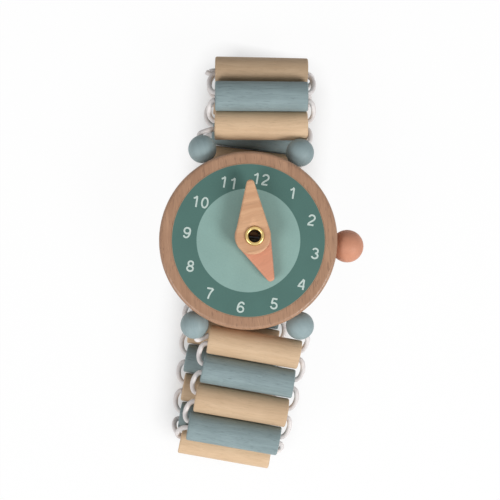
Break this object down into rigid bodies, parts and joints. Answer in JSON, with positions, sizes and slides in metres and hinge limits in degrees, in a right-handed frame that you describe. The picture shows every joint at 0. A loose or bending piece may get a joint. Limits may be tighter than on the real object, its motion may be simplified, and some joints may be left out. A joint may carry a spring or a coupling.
{
  "type": "toy watch",
  "caption": "Wooden toy wristwatch with hands that turn on a brass eyelet, a ball crown and a stretch bracelet of short dowels on elastic that opens into a wrist loop.",
  "frame": {"origin": "on the axis of the eyelet that carries the hands, at the face of the dial", "axes": "+Z out of the dial along the eyelet, +Y towards the upper strap, +X towards the crown"},
  "size_m": [0.0448, 0.0925, 0.0261],
  "materials": {
    "case_wood": "sanded beech, thin clear oil",
    "natural_wood": "plain sanded dowel",
    "stained_wood": "blue-grey water stain, grain showing",
    "coral_wood": "coral paint, satin",
    "coral_hand_wood": "coral stain on plywood",
    "hand_wood": "clear varnish on plywood",
    "dial_print": "matt print on card",
    "brass": "bright rolled brass",
    "elastic": "white round covered elastic",
    "fibre": "pressed fibre"
  },
  "bodies": {
    "case": {"case": "case_wood", "dial": "dial_print", "crown": "coral_wood", "eyelet": "brass", "spacer_washer": "fibre", "hand_washer": "fibre", "back_washer": "fibre", "upper_lead_cords": "elastic", "lower_lead_cords": "elastic"},
    "minute_hand": {"minute_hand": "hand_wood"},
    "hour_hand": {"hour_hand": "coral_hand_wood"},
    "bead_upper_left": {"bead_upper_left": "stained_wood"},
    "bead_upper_right": {"bead_upper_right": "stained_wood"},
    "bead_lower_left": {"bead_lower_left": "stained_wood"},
    "bead_lower_right": {"bead_lower_right": "stained_wood"},
    "link_01": {"dowel_01": "natural_wood", "cord_01": "elastic"},
    "link_02": {"dowel_02": "stained_wood", "cord_02": "elastic"},
    "link_03": {"dowel_03": "natural_wood", "cord_03": "elastic"},
    "link_04": {"dowel_04": "stained_wood", "cord_04": "elastic"},
    "link_05": {"dowel_05": "natural_wood", "cord_05": "elastic"},
    "link_06": {"dowel_06": "stained_wood", "cord_06": "elastic"},
    "link_07": {"dowel_07": "natural_wood", "cord_07": "elastic"},
    "link_08": {"dowel_08": "stained_wood", "cord_08": "elastic"},
    "link_09": {"dowel_09": "natural_wood", "cord_09": "elastic"},
    "link_10": {"dowel_10": "stained_wood", "cord_10": "elastic"},
    "link_11": {"dowel_11": "natural_wood", "cord_11": "elastic"},
    "link_12": {"dowel_12": "stained_wood", "cord_12": "elastic"},
    "link_13": {"dowel_13": "natural_wood", "cord_13": "elastic"},
    "link_14": {"dowel_14": "stained_wood", "cord_14": "elastic"},
    "link_15": {"dowel_15": "natural_wood", "cord_15": "elastic"},
    "link_16": {"dowel_16": "stained_wood", "cord_16": "elastic"},
    "link_17": {"dowel_17": "natural_wood", "cord_17": "elastic"},
    "link_18": {"dowel_18": "stained_wood", "cord_18": "elastic"},
    "link_19": {"dowel_19": "natural_wood", "cord_19": "elastic"},
    "link_20": {"dowel_20": "stained_wood", "cord_20": "elastic"},
    "link_21": {"dowel_21": "natural_wood", "cord_21": "elastic"}
  },
  "joints": [
    {"name": "minute_hand_turn", "type": "hinge", "parent": "case", "child": "minute_hand", "pos_m": [0, 0, 0.0037], "axis": [0, 0, 1], "continuous": true},
    {"name": "hour_hand_turn", "type": "hinge", "parent": "case", "child": "hour_hand", "pos_m": [0, 0, 0.0015], "axis": [0, 0, 1], "continuous": true},
    {"name": "bead_upper_left_spin", "type": "hinge", "parent": "case", "child": "bead_upper_left", "pos_m": [-0.01216, 0.01886, -0.005], "axis": [-0.259, 0.9659, 0], "continuous": true},
    {"name": "bead_upper_right_spin", "type": "hinge", "parent": "case", "child": "bead_upper_right", "pos_m": [0.00941, 0.01905, -0.005], "axis": [0.6157, 0.788, 0], "continuous": true},
    {"name": "bead_lower_left_spin", "type": "hinge", "parent": "case", "child": "bead_lower_left", "pos_m": [-0.01215, -0.01987, -0.005], "axis": [0.1737, -0.9848, 0], "continuous": true},
    {"name": "bead_lower_right_spin", "type": "hinge", "parent": "case", "child": "bead_lower_right", "pos_m": [0.01104, -0.01906, -0.005], "axis": [0.5591, -0.8291, 0], "continuous": true},
    {"name": "strap_open", "type": "hinge", "parent": "case", "child": "link_21", "pos_m": [0.00115, -0.02422, -0.00605], "axis": [0.9914, -0.1305, 0], "range_deg": [0, 58.52]},
    {"name": "dowel_20_hinge", "type": "hinge", "parent": "link_21", "child": "link_20", "pos_m": [0.00014, -0.03074, -0.0064], "axis": [0.9914, -0.1305, 0], "range_deg": [-0.5, 10.99]},
    {"name": "dowel_19_hinge", "type": "hinge", "parent": "link_20", "child": "link_19", "pos_m": [-0.00107, -0.03722, -0.00686], "axis": [0.9914, -0.1305, 0], "range_deg": [-0.5, 10.51]},
    {"name": "dowel_18_hinge", "type": "hinge", "parent": "link_19", "child": "link_18", "pos_m": [-0.00247, -0.04364, -0.00766], "axis": [0.9914, -0.1305, 0], "range_deg": [-29.14, 0.5]},
    {"name": "dowel_17_hinge", "type": "hinge", "parent": "link_18", "child": "link_17", "pos_m": [-0.00417, -0.04733, -0.013], "axis": [0.9914, -0.1305, 0], "range_deg": [-56.94, 0.5]},
    {"name": "dowel_16_hinge", "type": "hinge", "parent": "link_17", "child": "link_16", "pos_m": [-0.00465, -0.04256, -0.01767], "axis": [0.9914, -0.1305, 0], "range_deg": [-30.23, 0.5]},
    {"name": "dowel_15_hinge", "type": "hinge", "parent": "link_16", "child": "link_15", "pos_m": [-0.00425, -0.03595, -0.01767], "axis": [0.9914, -0.1305, 0], "range_deg": [-0.5, 9.55]},
    {"name": "dowel_14_hinge", "type": "hinge", "parent": "link_15", "child": "link_14", "pos_m": [-0.00385, -0.02934, -0.01767], "axis": [0.9914, -0.1305, 0], "range_deg": [-0.5, 7.11]},
    {"name": "dowel_13_hinge", "type": "hinge", "parent": "link_14", "child": "link_13", "pos_m": [-0.00345, -0.02273, -0.01767], "axis": [0.9914, -0.1305, 0], "range_deg": [-0.5, 6.4]},
    {"name": "dowel_12_hinge", "type": "hinge", "parent": "link_13", "child": "link_12", "pos_m": [-0.00306, -0.01612, -0.01767], "axis": [0.9914, -0.1305, 0], "range_deg": [-0.5, 6.68]},
    {"name": "dowel_11_hinge", "type": "hinge", "parent": "link_12", "child": "link_11", "pos_m": [-0.00266, -0.00951, -0.01767], "axis": [0.9914, -0.1305, 0], "range_deg": [-0.5, 7.73]},
    {"name": "dowel_10_hinge", "type": "hinge", "parent": "link_11", "child": "link_10", "pos_m": [-0.00226, -0.0029, -0.01767], "axis": [0.9914, -0.1305, 0], "range_deg": [-0.5, 9.59]},
    {"name": "dowel_09_hinge", "type": "hinge", "parent": "link_10", "child": "link_09", "pos_m": [-0.00186, 0.0037, -0.01767], "axis": [0.9914, -0.1305, 0], "range_deg": [-0.5, 12.35]},
    {"name": "dowel_08_hinge", "type": "hinge", "parent": "link_09", "child": "link_08", "pos_m": [-0.00147, 0.01031, -0.01767], "axis": [0.9914, -0.1305, 0], "range_deg": [-0.5, 15.88]},
    {"name": "dowel_07_hinge", "type": "hinge", "parent": "link_08", "child": "link_07", "pos_m": [-0.00107, 0.01692, -0.01767], "axis": [0.9914, -0.1305, 0], "range_deg": [-0.5, 19.52]},
    {"name": "dowel_06_hinge", "type": "hinge", "parent": "link_07", "child": "link_06", "pos_m": [-0.00067, 0.02353, -0.01767], "axis": [0.9914, -0.1305, 0], "range_deg": [-0.5, 21.77]},
    {"name": "dowel_05_hinge", "type": "hinge", "parent": "link_06", "child": "link_05", "pos_m": [-0.00027, 0.03014, -0.01767], "axis": [0.9914, -0.1305, 0], "range_deg": [-0.5, 7.44]},
    {"name": "dowel_04_hinge", "type": "hinge", "parent": "link_05", "child": "link_04", "pos_m": [0.00052, 0.03621, -0.0152], "axis": [0.9914, -0.1305, 0], "range_deg": [-65.17, 0.5]},
    {"name": "dowel_01_hinge", "type": "hinge", "parent": "case", "child": "link_01", "pos_m": [0.0006, 0.02524, -0.007], "axis": [1, 0, 0], "range_deg": [-53.64, 0.5]},
    {"name": "dowel_02_hinge", "type": "hinge", "parent": "link_01", "child": "link_02", "pos_m": [0.0006, 0.03144, -0.00474], "axis": [1, 0, 0], "range_deg": [-0.5, 29.01]},
    {"name": "dowel_03_hinge", "type": "hinge", "parent": "link_02", "child": "link_03", "pos_m": [0.0006, 0.03678, -0.00862], "axis": [1, 0, 0], "range_deg": [-0.5, 43.21]}
  ],
  "couplings": [
    {"joint": "dowel_20_hinge", "follows": "strap_open", "ratio": 0.1793},
    {"joint": "dowel_19_hinge", "follows": "strap_open", "ratio": 0.171},
    {"joint": "dowel_18_hinge", "follows": "strap_open", "ratio": -0.4894},
    {"joint": "dowel_17_hinge", "follows": "strap_open", "ratio": -0.96425},
    {"joint": "dowel_16_hinge", "follows": "strap_open", "ratio": -0.50793},
    {"joint": "dowel_15_hinge", "follows": "strap_open", "ratio": 0.1546},
    {"joint": "dowel_14_hinge", "follows": "strap_open", "ratio": 0.11295},
    {"joint": "dowel_13_hinge", "follows": "strap_open", "ratio": 0.10088},
    {"joint": "dowel_12_hinge", "follows": "strap_open", "ratio": 0.10558},
    {"joint": "dowel_11_hinge", "follows": "strap_open", "ratio": 0.12352},
    {"joint": "dowel_10_hinge", "follows": "strap_open", "ratio": 0.15532},
    {"joint": "dowel_09_hinge", "follows": "strap_open", "ratio": 0.20244},
    {"joint": "dowel_08_hinge", "follows": "strap_open", "ratio": 0.26286},
    {"joint": "dowel_07_hinge", "follows": "strap_open", "ratio": 0.32497},
    {"joint": "dowel_06_hinge", "follows": "strap_open", "ratio": 0.36349},
    {"joint": "dowel_05_hinge", "follows": "strap_open", "ratio": 0.11856},
    {"joint": "dowel_04_hinge", "follows": "strap_open", "ratio": -1.1048},
    {"joint": "dowel_01_hinge", "follows": "strap_open", "ratio": -0.90793},
    {"joint": "dowel_02_hinge", "follows": "strap_open", "ratio": 0.48715},
    {"joint": "dowel_03_hinge", "follows": "strap_open", "ratio": 0.72978}
  ]
}
